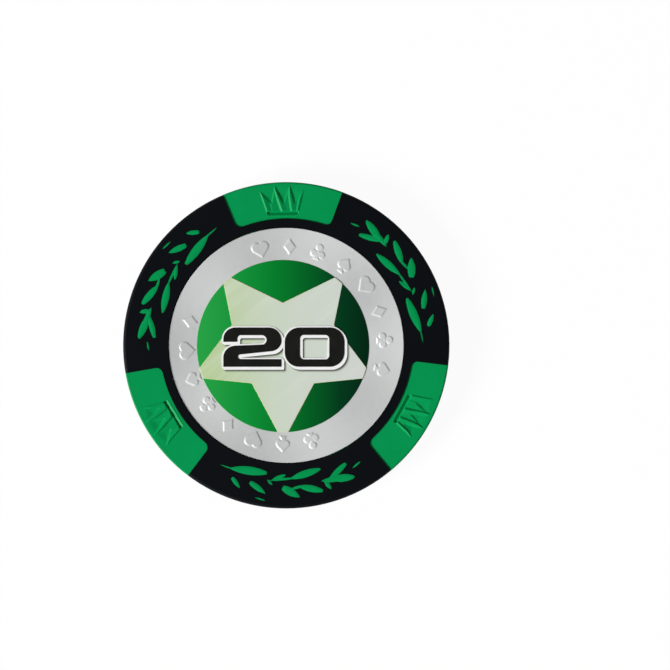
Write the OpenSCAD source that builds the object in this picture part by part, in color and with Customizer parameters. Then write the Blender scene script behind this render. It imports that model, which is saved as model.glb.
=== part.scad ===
// Poker chip: a two-shot moulded composite chip with a steel slug and a stuck-on label on each face.
// Millimetres. The chip lies flat: its back face is at z = 0, +Z is its front face, +Y its first edge spot.

/* [Chip] */
// Diameter over the rim
chip_d = 40; // [38:0.5:44]
// Thickness from face to face
chip_t = 3.35; // [3:0.05:4]
// Radius of the rounded rim edges
rim_round = 0.4; // [0.2:0.05:0.6]

/* [Steel slug] */
// Thickness of the steel sheet
slug_t = 1.5; // [1:0.1:1.8]
// Width of the plastic around the slug's edge
slug_wall = 1.5; // [1:0.1:4]
// Radius of the slug's tumbled edges
slug_round = 0.2; // [0.1:0.05:0.3]

/* [Core moulding] */
// Angle that one edge spot covers
spot_angle = 43; // [30:1:50]
// Corner radius at the inner end of a spot
spot_corner = 0.8; // [0.4:0.1:1.2]
// How far the spots and leaves lie below the faces of the body
spot_drop = 0.12; // [0.06:0.01:0.2]
// Thickness of the web that carries the leaves
web_t = 1.3; // [1:0.1:1.6]
// Diameter of the holes that key the web into the body
key_hole_d = 1.3; // [0.8:0.1:1.5]
// Diameter of the marks left by the pins that held the slug
pin_mark_d = 1.6; // [1:0.1:2.4]
// Distance of the pin marks from the centre
pin_mark_r = 9; // [5:0.5:10]

/* [Crowns] */
// Height of the crown above its spot
crown_rise = 0.1; // [0.04:0.01:0.12]
// Width across the outer points
crown_w = 5.1; // [4:0.1:6]
// Width of the band at the foot of the crown
crown_band_w = 3.8; // [3:0.1:4.4]
// Height of that band
crown_band_h = 0.5; // [0.3:0.05:0.7]
// Gap between the band and the points
crown_slit = 0.16; // [0.1:0.02:0.3]
// Margin between the band and the inner end of the spot
crown_foot_margin = 0.5; // [0.3:0.05:0.8]
// Margin between the middle points and the rim
crown_top_margin = 0.55; // [0.5:0.05:1]

/* [Laurel sprays] */
// How far the stem line lies inside the middle of the face ring
stem_inset = 0.25; // [0:0.05:0.5]

/* [Body moulding] */
// Width of the bare band between the label and the spots
band_w = 1; // [0.6:0.1:1.4]
// Thickness of the rim wall outside the web
rim_wall = 0.6; // [0.5:0.05:1]

/* [Label] */
// Diameter of the label
label_d = 28.8; // [27:0.2:30]
// Gap between the label and the wall of its well
label_clearance = 0.1; // [0.05:0.05:0.2]
// How far the foil lies below the face of the chip
label_sink = 0.22; // [0.22:0.02:0.4]
// Turn of the stuck-on label against the spots, clockwise
label_turn = 1.4; // [-5:0.1:5]
// Thickness of the adhesive film
adhesive_t = 0.05; // [0.03:0.01:0.1]
// Thickness of the foil
foil_t = 0.15; // [0.1:0.01:0.25]

/* [Embossed suits] */
// Height of the embossing
emboss = 0.1; // [0.05:0.01:0.15]
// Height of one suit
suit_h = 2; // [1.2:0.1:2.4]
// Gap between the printed field and the suits
suit_gap = 0.55; // [0.5:0.05:0.8]
// Angle from suit to suit
suit_pitch = 17; // [15:0.5:20]

/* [Printed field and star] */
// Diameter of the green field
field_d = 21.1; // [18:0.1:22]
// Sideways register of the whole print
print_x = -0.4; // [-0.5:0.05:0.5]
// Upward register of the whole print
print_y = -0.1; // [-0.5:0.05:0.5]
// Thickness of the field's ink
field_t = 0.04; // [0.02:0.01:0.06]
// How far the star's points run past the field, where they are cut off
star_overrun = 1.2; // [0.4:0.1:2]
// Thickness of the star's ink
star_t = 0.04; // [0.02:0.01:0.06]

/* [Numerals] */
// Height of the numerals
numeral_h = 4.8; // [3.6:0.1:5.6]
// Gap between the two numerals
numeral_gap = 0.42; // [0.2:0.02:0.8]
// How far the middle of the numerals lies below the print's centre
numeral_low = 0.13; // [0:0.01:0.5]
// How far it lies to the right of that centre
numeral_right = 0.1; // [-0.3:0.05:0.3]
// Thickness of the numerals' ink
numeral_t = 0.06; // [0.03:0.01:0.08]
// Width of the white rim around the numerals
rim_w = 0.18; // [0.1:0.01:0.22]
// Sideways and downward reach of the rim past that width
rim_reach = 0.18; // [0.05:0.01:0.25]
// Thickness of the rim's ink
rim_t = 0.06; // [0.03:0.01:0.08]

/* [Hidden] */
$fn = 96;
// How far a joined piece sinks into its ground, and how far a cut runs past a face
sink = 0.01;
overcut = 1;
// Steps along a round corner
corner_steps = 8;

chip_r = chip_d / 2;
label_r = label_d / 2;
well_r = label_r + label_clearance;
well_depth = label_sink + foil_t + adhesive_t;
hub_t = chip_t - 2 * well_depth;
slug_r = well_r - slug_wall;
web_r = chip_r - rim_wall;
mid_z = chip_t / 2;

spots = 3;
spot_pitch = 360 / spots;
spot_half = spot_angle / 2;
spot_in_r = well_r + band_w;
spot_top = chip_t - spot_drop;
// The key holes stand in the bare ground on both sides of a spot.
key_hole_r = (well_r + web_r) / 2;
key_hole_angle = spot_half + 4;
pin_marks = 3;

crown_foot_r = spot_in_r + crown_foot_margin;
crown_h = chip_r - crown_top_margin - crown_foot_r;
crown_points = 4;
// Heights of the outer points and of the valleys, as shares of the height above the band
crown_outer_share = 0.76;
crown_valley_share = 0.13;

// One laurel spray, drawn on a web that is 4.9 units wide between the well and the rim wall.
// Angles run clockwise from a spot's centre. Reaches are counted outwards from the stem line.
spray_unit = (web_r - well_r) / 4.9;
stem_r = (well_r + chip_r) / 2 - stem_inset;
// Leaves and stems: [tip angle, tip reach, foot angle, foot reach, width, run past the foot]
leaves = [
    [28.8, -0.14, 33.3, 0.08, 0.26, 0],
    [44.0, 0.25, 34.0, 1.11, 0.95, 0.25],
    [47.2, 0.18, 37.8, 0.72, 0.66, 0],
    [44.6, 0.39, 34.6, -0.82, 0.72, 0.5],
    [44.0, 1.47, 45.8, 0.15, 0.56, 0],
    [57.0, 0.29, 47.3, 1.38, 0.86, 0.35],
    [53.5, 0.31, 60.3, 0.66, 0.36, 0],
    [56.2, 1.70, 63.0, 0.42, 1.00, 0.5],
    [60.2, -0.60, 46.0, -1.31, 0.90, 0.25],
    [56.5, -0.71, 69.1, -0.27, 0.32, 0],
    [67.9, -0.35, 61.8, -1.13, 0.48, 0.2],
    [67.0, 0.23, 69.7, -0.40, 0.36, 0],
    [69.3, 1.36, 76.4, 0.34, 0.74, 0.5],
    [79.3, 1.43, 83.8, 0.50, 0.58, 0.4],
    [86.6, -0.38, 70.1, -1.18, 1.06, 0.45],
    [91.1, -0.25, 82.8, -0.51, 0.22, 0],
    [68.9, 2.22, 73.4, 2.03, 0.22, 0]
];

foil_z = chip_t - label_sink;
adhesive_z = foil_z - foil_t - adhesive_t;
field_z = foil_z;
star_z = field_z + field_t;
rim_z = star_z + star_t;
numeral_z = rim_z + rim_t;

field_r = field_d / 2;
suit_r = field_r + suit_gap + suit_h / 2;
suits_per_arc = 8;
suit_arcs = 2;
suit_start = -15;

// The star, right half: [angle from the top, radius].
// Its points run past the field, and its notches lie at shares of the field's radius.
star_tip_r = field_r + star_overrun;
star_half = [
    [0, 0.505 * field_r], [40, star_tip_r], [67.5, 0.642 * field_r],
    [109, star_tip_r], [140, 0.564 * field_r], [180, star_tip_r]
];

// The numerals are drawn on a body 48 units high.
numeral_unit = numeral_h / 48;
two_units = 71;
zero_units = 73;

adhesive_colour = "gainsboro";
foil_colour = "silver";
field_colour = "forestgreen";
star_colour = "beige";
numeral_rim_colour = "white";
numerals_colour = "#1c1c1c";

// A point at a radius and at an angle that runs clockwise from +Y.
function clock(angle, radius) = [radius * sin(angle), radius * cos(angle)];

// Points along an arc about a centre, from one angle to another, counted anticlockwise from +X.
function arc(centre, radius, from, to, steps = corner_steps) =
    [for (i = [0:steps]) let (a = from + (to - from) * i / steps) centre + radius * [cos(a), sin(a)]];

// Turns a piece over onto the back of the chip, about +Y.
module on_back() {
    translate([0, 0, chip_t]) rotate([0, 180, 0]) children();
}

// The same piece on the front and on the back.
module on_both_faces() {
    children();
    on_back() children();
}

module at_each_spot() {
    for (i = [0:spots - 1]) rotate(-i * spot_pitch) children();
}

// A disc with rounded edges that fills the chip's outline between two equal drops from its faces.
module chip_blank(drop) {
    low = drop;
    high = chip_t - drop;
    rotate_extrude() polygon(concat(
        [[0, low]],
        arc([chip_r - rim_round, low + rim_round], rim_round, -90, 0),
        arc([chip_r - rim_round, high - rim_round], rim_round, 0, 90),
        [[0, high]]
    ));
}

// Outline of an edge spot at +Y, with round inner corners. It runs past the rim.
module spot_outline() {
    corner_r = spot_in_r + spot_corner;
    corner_angle = spot_half - asin(spot_corner / corner_r);
    reach = chip_r / cos(spot_half) + overcut;
    inner_steps = 24;
    polygon(concat(
        [clock(-spot_half, reach)],
        arc(clock(-corner_angle, corner_r), spot_corner, 180 + spot_half, 270 + corner_angle),
        [for (i = [1:inner_steps - 1]) clock(corner_angle * (2 * i / inner_steps - 1), spot_in_r)],
        arc(clock(corner_angle, corner_r), spot_corner, 270 - corner_angle, 360 - spot_half),
        [clock(spot_half, reach)]
    ));
}

// Outline of a crown at +Y: a band below a row of points.
module crown_outline() {
    half = crown_w / 2;
    points_foot = crown_band_h + crown_slit;
    points_h = crown_h - points_foot;
    step = crown_w / (crown_points - 1);
    translate([0, crown_foot_r]) {
        translate([-crown_band_w / 2, 0]) square([crown_band_w, crown_band_h]);
        polygon(concat(
            [[crown_band_w / 2, points_foot], [-crown_band_w / 2, points_foot]],
            [for (i = [0:2 * crown_points - 2]) let (
                x = -half + i * step / 2,
                outer = i == 0 || i == 2 * crown_points - 2,
                share = i % 2 == 1 ? crown_valley_share : outer ? crown_outer_share : 1
            ) [x, points_foot + share * points_h]]
        ));
    }
}

// The lens between two equal arcs, from the origin along +X.
module leaf_lens(length, width) {
    radius = (length * length + width * width) / (4 * width);
    intersection() {
        translate([length / 2, radius - width / 2]) circle(radius);
        translate([length / 2, width / 2 - radius]) circle(radius);
    }
}

// A leaf from its tip to its foot. A blunt leaf's arcs run on past the foot, and an arc about the tip cuts them there.
module leaf_outline(tip, foot, width, past) {
    span = foot - tip;
    length = norm(span);
    translate(tip) rotate(atan2(span[1], span[0])) {
        if (past == 0) leaf_lens(length, width);
        else intersection() {
            leaf_lens(length + past, width);
            circle(length);
        }
    }
}

module spray_outline() {
    for (l = leaves) leaf_outline(
        clock(l[0], stem_r + l[1] * spray_unit), clock(l[2], stem_r + l[3] * spray_unit),
        l[4] * spray_unit, l[5] * spray_unit
    );
}

// Every leaf and stem of one face as prisms from the middle of the web to a height.
module spray_lands(top) {
    at_each_spot() translate([0, 0, mid_z]) linear_extrude(top - mid_z) spray_outline();
}

// Pillars that fill the key holes of the web.
module key_pillars() {
    at_each_spot() for (side = [-1, 1])
        translate(clock(side * key_hole_angle, key_hole_r))
            translate([0, 0, mid_z - web_t]) cylinder(h = 2 * web_t, d = key_hole_d);
}

module slug_shape() {
    low = mid_z - slug_t / 2;
    high = mid_z + slug_t / 2;
    rotate_extrude() polygon(concat(
        [[0, low]],
        arc([slug_r - slug_round, low + slug_round], slug_round, -90, 0),
        arc([slug_r - slug_round, high - slug_round], slug_round, 0, 90),
        [[0, high]]
    ));
}

module web() {
    difference() {
        translate([0, 0, mid_z - web_t / 2]) cylinder(h = web_t, r = web_r);
        key_pillars();
    }
}

module spots_block(drop) {
    intersection() {
        chip_blank(drop);
        at_each_spot() translate([0, 0, -overcut]) linear_extrude(chip_t + 2 * overcut) spot_outline();
    }
}

module steel_slug() {
    color("slategray") slug_shape();
}

module core_moulding() {
    color("seagreen") difference() {
        union() {
            translate([0, 0, well_depth]) cylinder(h = hub_t, r = well_r);
            web();
            spots_block(spot_drop);
            on_both_faces() {
                spray_lands(spot_top);
                at_each_spot() translate([0, 0, spot_top - sink])
                    linear_extrude(crown_rise + sink) crown_outline();
            }
        }
        slug_shape();
        on_both_faces() for (i = [0:pin_marks - 1])
            rotate(i * 360 / pin_marks) translate([0, pin_mark_r, mid_z])
                cylinder(h = chip_t, d = pin_mark_d);
    }
}

module body_moulding() {
    color("#101418") difference() {
        chip_blank(0);
        translate([0, 0, -overcut]) cylinder(h = chip_t + 2 * overcut, r = well_r);
        web();
        spots_block(-overcut);
        on_both_faces() spray_lands(chip_t + overcut);
    }
}

module heart_outline(height) {
    // Two half circles on the upper sides of a square that stands on its corner.
    side = height / (0.75 * sqrt(2) + 0.5);
    half = side / sqrt(2);
    translate([0, (half - side) / 4]) polygon(concat(
        [[0, -half]],
        arc([half / 2, half / 2], side / 2, -45, 135),
        arc([-half / 2, half / 2], side / 2, 45, 225)
    ));
}

module suit_stem(height) {
    polygon([[-0.22 * height, -0.5 * height], [0.22 * height, -0.5 * height], [0, 0.1 * height]]);
}

module spade_outline(height) {
    translate([0, 0.12 * height]) rotate(180) heart_outline(0.78 * height);
    suit_stem(height);
}

module club_outline(height) {
    lobe = 0.23 * height;
    for (a = [0, 120, 240]) translate(clock(a, 1.18 * lobe)) circle(lobe);
    circle(0.6 * lobe);
    suit_stem(height);
}

module diamond_outline(height) {
    polygon([[0, -height / 2], [0.38 * height, 0], [0, height / 2], [-0.38 * height, 0]]);
}

module suit_outline(index) {
    if (index == 0) heart_outline(suit_h);
    if (index == 1) diamond_outline(suit_h);
    if (index == 2) club_outline(suit_h);
    if (index == 3) spade_outline(suit_h);
}

// Two arcs of suits, opposite each other.
module suit_ring() {
    for (k = [0:suit_arcs - 1], i = [0:suits_per_arc - 1])
        rotate(-(suit_start + k * 360 / suit_arcs + i * suit_pitch))
            translate([0, suit_r]) suit_outline((i + 2 * k) % 4);
}

module turned_label() {
    rotate(-label_turn) children();
}

module adhesive_film() {
    translate([0, 0, adhesive_z]) cylinder(h = adhesive_t, r = label_r);
}

module foil_disc() {
    turned_label() {
        translate([0, 0, foil_z - foil_t]) cylinder(h = foil_t, r = label_r);
        translate([0, 0, foil_z - sink]) linear_extrude(emboss + sink) suit_ring();
    }
}

module field_ink() {
    turned_label() translate([print_x, print_y, field_z]) cylinder(h = field_t, d = field_d);
}

module star_ink() {
    left_half = [for (i = [len(star_half) - 2:-1:1]) clock(-star_half[i][0], star_half[i][1])];
    right_half = [for (p = star_half) clock(p[0], p[1])];
    turned_label() translate([print_x, print_y, star_z]) linear_extrude(star_t) intersection() {
        polygon(concat(right_half, left_half));
        circle(d = field_d);
    }
}

// Outline of a two on the 48-unit body, grown all round.
// It is a chain of arcs joined by straight lines: an outer corner gains the growth, an inner one loses it.
module two_outline(grow) {
    polygon(concat(
        arc([0, 0], grow, 180, 270),
        arc([two_units, 0], grow, 270, 360),
        arc([two_units, 9.3], grow, 0, 90),
        arc([20.8, 12.2], 2.9 - grow, 270, 95),
        arc([58, 32], 13 + grow, 275, 360),
        arc([55.5, 32.5], 15.5 + grow, 0, 90),
        arc([14, 34], 14 + grow, 90, 180),
        arc([0, 30.5], grow, 180, 270),
        arc([17, 30.5], grow, 270, 360),
        arc([21.5, 34.2], 4.5 - grow, 180, 90),
        arc([47.2, 32.9], 5.8 - grow, 90, -88),
        arc([14.2, 11.5], 14.2 + grow, 92, 180)
    ));
}

module round_box(low, high, radius) {
    polygon(concat(
        arc(low + [radius, radius], radius, 180, 270),
        arc([high[0] - radius, low[1] + radius], radius, 270, 360),
        arc(high - [radius, radius], radius, 0, 90),
        arc([low[0] + radius, high[1] - radius], radius, 90, 180)
    ));
}

module zero_outline(grow) {
    difference() {
        round_box([-grow, -grow], [zero_units + grow, 48 + grow], 17.5 + grow);
        round_box([18.5 + grow, 9 + grow], [zero_units - 18.5 - grow, 39 - grow], 5 - grow);
    }
}

// The two numerals side by side, centred on the print.
module numerals_outline(grow) {
    gap = numeral_gap / numeral_unit;
    units = grow / numeral_unit;
    total = two_units + gap + zero_units;
    middle = [print_x + numeral_right, print_y - numeral_low];
    translate(middle) scale(numeral_unit) translate([-total / 2, -24]) {
        two_outline(units);
        translate([two_units + gap, 0]) zero_outline(units);
    }
}

module numeral_rim_ink() {
    rim_steps = 2;
    turned_label() translate([0, 0, rim_z]) linear_extrude(rim_t)
        for (i = [0:rim_steps]) translate([1, -1] * rim_reach * i / rim_steps) numerals_outline(rim_w);
}

module numerals_ink() {
    turned_label() translate([0, 0, numeral_z]) linear_extrude(numeral_t) numerals_outline(0);
}

module front_adhesive() { color(adhesive_colour) adhesive_film(); }
module back_adhesive() { color(adhesive_colour) on_back() adhesive_film(); }
module front_foil() { color(foil_colour) foil_disc(); }
module back_foil() { color(foil_colour) on_back() foil_disc(); }
module front_field() { color(field_colour) field_ink(); }
module back_field() { color(field_colour) on_back() field_ink(); }
module front_star() { color(star_colour) star_ink(); }
module back_star() { color(star_colour) on_back() star_ink(); }
module front_numeral_rim() { color(numeral_rim_colour) numeral_rim_ink(); }
module back_numeral_rim() { color(numeral_rim_colour) on_back() numeral_rim_ink(); }
module front_numerals() { color(numerals_colour) numerals_ink(); }
module back_numerals() { color(numerals_colour) on_back() numerals_ink(); }

steel_slug();
core_moulding();
body_moulding();
front_adhesive();
front_foil();
front_field();
front_star();
front_numeral_rim();
front_numerals();
back_adhesive();
back_foil();
back_field();
back_star();
back_numeral_rim();
back_numerals();
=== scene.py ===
# %% [markdown]
# # A poker chip
# The chip is moulded in two shots: a green core with three edge spots and laurel sprays, and a black body
# around it. A steel slug inside gives it weight, and a printed foil label is stuck into a shallow well on
# each face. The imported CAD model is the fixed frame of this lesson. Everything that is made here sits in
# that frame, in metres.

# %% Load the frame
import math

import bmesh
import bpy
import numpy as np
from mathutils import Matrix, Vector


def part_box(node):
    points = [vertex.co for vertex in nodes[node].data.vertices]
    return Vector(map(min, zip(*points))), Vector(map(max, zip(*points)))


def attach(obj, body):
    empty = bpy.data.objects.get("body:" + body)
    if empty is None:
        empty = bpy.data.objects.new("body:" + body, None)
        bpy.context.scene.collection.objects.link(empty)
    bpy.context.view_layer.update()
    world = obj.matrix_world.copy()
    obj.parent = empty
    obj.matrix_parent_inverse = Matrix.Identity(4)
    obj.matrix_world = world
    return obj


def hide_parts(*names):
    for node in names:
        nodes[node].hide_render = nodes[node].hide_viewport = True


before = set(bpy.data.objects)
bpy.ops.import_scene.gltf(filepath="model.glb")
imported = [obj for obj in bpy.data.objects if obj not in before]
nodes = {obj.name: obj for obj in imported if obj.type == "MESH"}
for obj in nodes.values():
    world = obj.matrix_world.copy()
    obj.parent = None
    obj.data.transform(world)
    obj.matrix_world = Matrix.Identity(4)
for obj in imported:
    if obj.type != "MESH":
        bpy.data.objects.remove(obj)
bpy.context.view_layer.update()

# %% [markdown]
# Heights and diameters are read from the boxes of the CAD pieces, so that the new surfaces land where the
# solids are. A box can't tell an angle, a corner radius or the size of a hollow. Those few values are
# repeated from the CAD source. Lengths are in millimetres from here on, and MM turns them into Blender's
# metres.

# %% Sizes
MM = 0.001


def low_high(node):
    """Lowest and highest corner of a CAD piece, in millimetres."""
    return tuple(np.array(corner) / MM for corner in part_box(node))


body_high = low_high("body_moulding")[1]
chip_r, chip_t = body_high[0], body_high[2]
foil_low, foil_high = low_high("front_foil")
field_low, field_high = low_high("front_field")
star_low, star_high = low_high("front_star")
label_r = (foil_high[0] - foil_low[0]) / 2
field_r = (field_high[0] - field_low[0]) / 2
# The flat of the foil is where the field's ink begins. The foil's own box also holds its embossing.
foil_z = field_low[2]

spots = 3
spot_half = 21.5  # degrees on each side of a spot's middle
spot_in_r = 15.5
spot_corner = 0.8  # radius of a spot's inner corners
spot_drop = 0.12  # depth of a spot below the black face
rim_round = 0.4  # rounding of the chip's rim
well_r = 14.5  # radius of the wells that hold the labels
web_r, web_t = 19.4, 1.3  # radius and thickness of the web inside the chip
label_turn = 1.4  # degrees by which the labels are turned clockwise against the spots
spot_z = chip_t - spot_drop
print(f"chip {2 * chip_r:.2f} x {chip_t:.2f} mm, label {2 * label_r:.2f} mm, foil at {foil_z:.2f} mm")

# %% [markdown]
# Every new piece is a grid of points, worked out as whole numpy arrays. Neighbours in the grid become the
# four corners of a face, and the last column joins the first, so that each row is a closed ring. The
# signed volume tells whether the faces look outwards, and turns them if they don't. Where a row shrinks
# to one point, its points are merged, which closes poles and leaf tips.

# %% From grids of points to pieces
merge_gap = 1e-4  # points closer than this become one
least_edge = 1e-5  # edges shorter than this are taken out
crease = 50  # degrees between two faces past which the shading breaks


def ring_faces(shape):
    """Corner numbers of the quads of several grids of one shape, whose last column joins the first."""
    number = np.arange(np.prod(shape)).reshape(shape)
    number = np.concatenate([number, number[..., :1]], -1)
    corners = [number[:, :-1, :-1], number[:, 1:, :-1], number[:, 1:, 1:], number[:, :-1, 1:]]
    return np.stack(corners, -1).reshape(-1, 4)


def enclosed_volume(points, faces):
    """Signed volume inside the faces: a sixth of the triple product of the corners, summed over each
    quad's two halves."""
    a, b, c, d = (points[faces[:, i]] for i in range(4))
    return (np.cross(a, b) * c + np.cross(a, c) * d).sum() / 6


def merged_mesh(name, points, faces, marks):
    """A smooth mesh, merged where points meet. Marks give the materials one number per point."""
    mesh = bpy.data.meshes.new(name)
    mesh.from_pydata(points * MM, [], faces)
    for mark, values in marks.items():
        layer = mesh.attributes.new(mark, "FLOAT", "POINT")
        layer.data.foreach_set("value", np.ravel(values).astype(np.float32))
    shell = bmesh.new()
    shell.from_mesh(mesh)
    bmesh.ops.remove_doubles(shell, verts=shell.verts, dist=merge_gap * MM)
    bmesh.ops.dissolve_degenerate(shell, edges=shell.edges, dist=least_edge * MM)
    shell.to_mesh(mesh)
    shell.free()
    mesh.shade_smooth()
    mesh.set_sharp_from_angle(angle=math.radians(crease))
    return mesh


def make_piece(name, grids, material, replaced, marks=None):
    """Makes one piece from grids of points in millimetres, with its faces looking outwards."""
    grids = grids.reshape(-1, *grids.shape[-3:])
    points = grids.reshape(-1, 3)
    faces = ring_faces(grids.shape[:3])
    if enclosed_volume(points, faces) < 0:
        faces = faces[:, ::-1]
    mesh = merged_mesh(name, points, faces, marks or {})
    piece = bpy.data.objects.new(name, mesh)
    bpy.context.scene.collection.objects.link(piece)
    piece.data.materials.append(material)
    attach(piece, "root")
    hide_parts(*replaced)
    triangles = sum(len(p.vertices) - 2 for p in mesh.polygons)
    print(f"{name}: {len(mesh.vertices)} points, {triangles} triangles")


# %% [markdown]
# Three small moves place the points. The spots and sprays repeat round the axis, the back is the front
# turned over, and angles are counted as on a clock face, from +Y.

# %% Places on the chip
def turned(points, degrees):
    """Points turned about +Z, anticlockwise."""
    c, s = math.cos(math.radians(degrees)), math.sin(math.radians(degrees))
    return points @ np.array([[c, s, 0], [-s, c, 0], [0, 0, 1]])


def on_back(points):
    """Points of the front turned over onto the back: half a turn about +Y through the chip's middle."""
    return points * [-1, 1, -1] + [0, 0, chip_t]


def clock(degrees, radius):
    """Flat points at a radius, at angles that run clockwise from +Y."""
    angle = np.radians(degrees)
    return np.stack([radius * np.sin(angle), radius * np.cos(angle)], -1)


spot_turn = 360 / spots
print(f"spots at {clock(np.arange(spots) * spot_turn, chip_r).round(2).tolist()} mm")

# %% [markdown]
# Relief on the chip comes from distances. The signed distance to an outline is negative inside and
# positive outside, so a soft step across it raises a plate with rounded edges. The same distance blurs a
# printed shade. A Bevel modifier could round a plate too, but not one whose crests and notches run into
# each other.

# %% Soft steps across outlines
def smooth_step(low, high, values):
    """Runs from 0 at low to 1 at high along 3t^2 - 2t^3, level at both ends."""
    t = np.clip((values - low) / (high - low), 0, 1)
    return t * t * (3 - 2 * t)


def closed_sides(corners):
    """The sides of a closed outline, each as its two ends."""
    return np.stack([corners, np.roll(corners, -1, 0)], 1)


def outline_distance(x, y, sides):
    """Signed distance to an outline: the least distance to a side, negative where a ray along +X crosses
    an odd number of sides. The loop runs over the few sides, each time with all the points at once."""
    nearest = np.full(np.shape(x), np.inf)
    inside = np.zeros(np.shape(x), bool)
    for (ax, ay), (bx, by) in sides:
        dx, dy = bx - ax, by - ay
        along = np.clip(((x - ax) * dx + (y - ay) * dy) / (dx * dx + dy * dy), 0, 1)
        nearest = np.minimum(nearest, np.hypot(x - ax - along * dx, y - ay - along * dy))
        if ay != by:
            inside ^= ((ay > y) != (by > y)) & (x < ax + (y - ay) * dx / dy)
    return np.where(inside, -nearest, nearest)


square = closed_sides(np.array([[-1, -1], [1, -1], [1, 1], [-1, 1]]))
origin = np.zeros(1)
print(f"distance in the middle of a square 2 mm wide: {outline_distance(origin, origin, square)[0]} mm")

# %% [markdown]
# Colours are written as the hex values that a colour picker shows, and one function turns them into the
# linear values that a renderer calculates with. One more function adds a node with its settings and
# links, so that each finish below reads as a short list. Most finishes end alike: one fine pattern gives
# both the roughness and a bump, because the grain that scatters the shine is also what dents the surface.

# %% Colours and nodes
# A Mix node for colours has its share, its two colours and its result at these places among its sockets.
SHARE, FIRST, SECOND, MIXED = 0, 6, 7, 2


def linear(hex_colour):
    """Linear RGBA of an sRGB hex colour: c / 12.92 where it is dark, else ((c + 0.055) / 1.055) ^ 2.4."""
    srgb = np.array([int(hex_colour[i:i + 2], 16) / 255 for i in (1, 3, 5)])
    light = np.where(srgb <= 0.04045, srgb / 12.92, ((srgb + 0.055) / 1.055) ** 2.4)
    return (*light, 1.0)


def add(tree, kind, inputs=None, stops=(), **settings):
    """Adds one node. Settings go to its properties, inputs to its sockets, stops to its ramp."""
    made = tree.nodes.new("ShaderNode" + kind)
    for name, value in settings.items():
        setattr(made, name, value)
    for socket, value in (inputs or {}).items():
        if isinstance(value, bpy.types.NodeSocket):
            tree.links.new(value, made.inputs[socket])
        else:
            made.inputs[socket].default_value = value
    for i, (position, hex_colour) in enumerate(stops):
        elements = made.color_ramp.elements
        stop = elements[i] if i < len(elements) else elements.new(position)
        stop.position, stop.color = position, linear(hex_colour)
    return made


def blank_material(name):
    """A new material with an empty tree."""
    material = bpy.data.materials.new(name)
    material.use_nodes = True
    material.node_tree.nodes.clear()
    return material, material.node_tree


def end_surface(tree, colour, pattern, rough, relief, shine):
    """Ends a tree. The pattern runs the roughness from one value to another and makes a relief, given by
    its strength and its depth in millimetres. Shine holds what else is set on the shader."""
    roughness = add(tree, "MapRange", {"Value": pattern, "To Min": rough[0], "To Max": rough[1]})
    bump = add(tree, "Bump", {"Height": pattern, "Strength": relief[0], "Distance": relief[1] * MM})
    shader = add(tree, "BsdfPrincipled", {
        "Base Color": colour, "Roughness": roughness.outputs[0], "Normal": bump.outputs[0], **shine,
    })
    add(tree, "OutputMaterial", {"Surface": shader.outputs[0]})


print(f"middle grey #808080 is {linear('#808080')[0]:.3f} in linear light")

# %% [markdown]
# The two mouldings are mineral-filled ABS, which feels like fired clay. The filler leaves a fine matt
# grain, a slightly cloudy colour and only a weak mirror shine, so the specular level is well below that
# of bare plastic. Chips are shuffled and stacked on their rims, so the black rounding there wears paler in
# scuffed patches. The green rounding is painted darker in the same patches: a painted shade that holds
# down the highlight that the lamp throws on the rim.

# %% Moulded composite
def moulded_composite(name, plain, cloudy, wear_and_shade_tone, roughness):
    """Filled plastic with flow clouds and a fine grain, which takes on the rim tone towards the rim: paler
    wear on the black, a painted shade on the green.
    """
    material, tree = blank_material(name)
    place = add(tree, "TexCoord").outputs["Object"]
    # Flow clouds in the moulded mass are a few millimetres wide.
    clouds = add(tree, "TexNoise", {
        "Vector": place, "Scale": 1 / (3.5 * MM), "Detail": 3.0, "Roughness": 0.55,
    }).outputs["Fac"]
    cloud_share = add(tree, "MapRange", {"Value": clouds, "From Min": 0.35, "From Max": 0.7})
    clouded = add(tree, "Mix", {
        SHARE: cloud_share.outputs[0], FIRST: linear(plain), SECOND: linear(cloudy),
    }, data_type="RGBA")
    # Paler wear on the black, painted shade on the green, near the rim in patches of about a millimetre.
    flat = add(tree, "VectorMath", {0: place, 1: (1.0, 1.0, 0.0)}, operation="MULTIPLY")
    radius = add(tree, "VectorMath", {0: flat.outputs[0]}, operation="LENGTH")
    rim = add(tree, "MapRange", {
        "Value": radius.outputs["Value"], "From Min": (chip_r - rim_round) * MM, "From Max": chip_r * MM,
    }, interpolation_type="SMOOTHSTEP")
    scuff_and_shade_patches = add(tree, "TexNoise", {
        "Vector": place, "Scale": 1 / (0.9 * MM), "Detail": 4.0, "Roughness": 0.7,
    }).outputs["Fac"]
    scuff_and_shade_share = add(tree, "MapRange", {
        "Value": scuff_and_shade_patches, "From Min": 0.3, "From Max": 0.7, "To Min": 0.25, "To Max": 0.8,
    })
    wear_and_shade_share = add(tree, "Math", {0: rim.outputs[0], 1: scuff_and_shade_share.outputs[0]}, operation="MULTIPLY")
    wear_and_shade = add(tree, "Mix", {
        SHARE: wear_and_shade_share.outputs[0], FIRST: clouded.outputs[MIXED], SECOND: linear(wear_and_shade_tone),
    }, data_type="RGBA")
    # The filler's grains are about 0.02 mm wide. They are drawn ten times as coarse, so that they show.
    grain = add(tree, "TexNoise", {
        "Vector": place, "Scale": 1 / (0.2 * MM), "Detail": 2.0, "Roughness": 0.6,
    }).outputs["Fac"]
    end_surface(
        tree, wear_and_shade.outputs[MIXED], grain, rough=(roughness - 0.06, roughness + 0.08),
        relief=(0.25, 0.006), shine={"IOR": 1.5, "Specular IOR Level": 0.08},
    )
    return material


# The green's rim tone is darker than its plain colour, a painted shade on the rounding. The black's rim
# tone is paler wear.
green_composite = moulded_composite("Green_mineral_filled_ABS", "#008f4b", "#009350", "#007a40", 0.42)
black_composite = moulded_composite("Black_mineral_filled_ABS", "#04070b", "#05080d", "#0a0d11", 0.5)
print(f"finishes {green_composite.name} and {black_composite.name}")

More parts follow.
